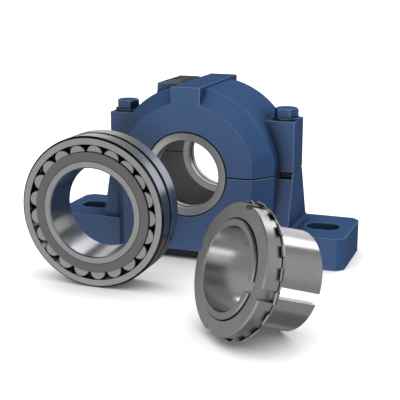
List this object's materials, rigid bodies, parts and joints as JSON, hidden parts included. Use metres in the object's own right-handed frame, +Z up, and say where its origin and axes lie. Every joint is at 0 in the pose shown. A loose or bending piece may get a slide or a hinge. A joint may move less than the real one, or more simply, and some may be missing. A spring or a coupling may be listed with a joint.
{
  "type": "split plummer block",
  "caption": "Split plummer block housing with labyrinth seal rings, its spherical roller bearing and the adapter sleeve with lock nut and tab washer set out beside it.",
  "frame": {"origin": "middle of the foot's slot pattern on the base face, under the shaft axis", "axes": "+Z up, Y along the shaft axis with -Y at the front, X along the foot with the bearing at -X and the sleeve at +X"},
  "size_m": [0.4208, 0.4192, 0.222],
  "materials": {
    "paint": "satin",
    "ground_steel": "satin",
    "cage_steel": "satin",
    "rubber": "matte",
    "plate": "satin"
  },
  "bodies": {
    "block": {"housing_base": "paint", "housing_cap": "paint", "cap_bolt_left": "paint", "cap_bolt_right": "paint", "cap_washer_left": "paint", "cap_washer_right": "paint", "dowel_pin_front": "ground_steel", "dowel_pin_rear": "ground_steel", "name_plate": "plate", "bearing_outer_ring": "ground_steel", "adapter_sleeve": "ground_steel"},
    "front_seal": {"front_seal_ring": "ground_steel", "front_rubber_ring": "rubber"},
    "rear_seal": {"rear_seal_ring": "ground_steel", "rear_rubber_ring": "rubber"},
    "bearing_swivel": {"guide_ring": "ground_steel"},
    "bearing_inner": {"bearing_inner_ring": "ground_steel"},
    "front_row": {"cage_front": "cage_steel", "rollers_front": "ground_steel"},
    "rear_row": {"cage_rear": "cage_steel", "rollers_rear": "ground_steel"},
    "tab_washer": {"lock_washer": "ground_steel"},
    "nut": {"lock_nut": "ground_steel"}
  },
  "joints": [
    {"name": "front_seal_spin", "type": "hinge", "parent": "block", "child": "front_seal", "pos_m": [0, -0.0646, 0.112], "axis": [0, 1, 0], "continuous": true},
    {"name": "rear_seal_spin", "type": "hinge", "parent": "block", "child": "rear_seal", "pos_m": [0, 0.0646, 0.112], "axis": [0, 1, 0], "continuous": true},
    {"name": "bearing_swivel", "type": "hinge", "parent": "block", "child": "bearing_swivel", "pos_m": [-0.065, -0.184, 0.09], "axis": [1, 0, 0], "range_deg": [-1.5, 1.5]},
    {"name": "inner_ring_spin", "type": "hinge", "parent": "bearing_swivel", "child": "bearing_inner", "pos_m": [-0.065, -0.184, 0.09], "axis": [0, 1, 0], "continuous": true},
    {"name": "front_row_spin", "type": "hinge", "parent": "bearing_swivel", "child": "front_row", "pos_m": [-0.065, -0.184, 0.09], "axis": [0, 1, 0], "continuous": true},
    {"name": "rear_row_spin", "type": "hinge", "parent": "bearing_swivel", "child": "rear_row", "pos_m": [-0.065, -0.184, 0.09], "axis": [0, 1, 0], "continuous": true},
    {"name": "washer_slide", "type": "slide", "parent": "block", "child": "tab_washer", "axis": [0.6599, 0.6881, -0.3016], "range_m": [-0.012, 0]},
    {"name": "nut_turn", "type": "hinge", "parent": "tab_washer", "child": "nut", "pos_m": [0.13694, -0.28981, 0.07121], "axis": [0.6599, 0.6881, -0.3016], "range_deg": [-2160, 0]}
  ],
  "couplings": [
    {"joint": "front_row_spin", "follows": "inner_ring_spin", "ratio": 0.429},
    {"joint": "rear_row_spin", "follows": "inner_ring_spin", "ratio": 0.429},
    {"joint": "washer_slide", "follows": "nut_turn", "m_per_rad": 0.0003183}
  ]
}
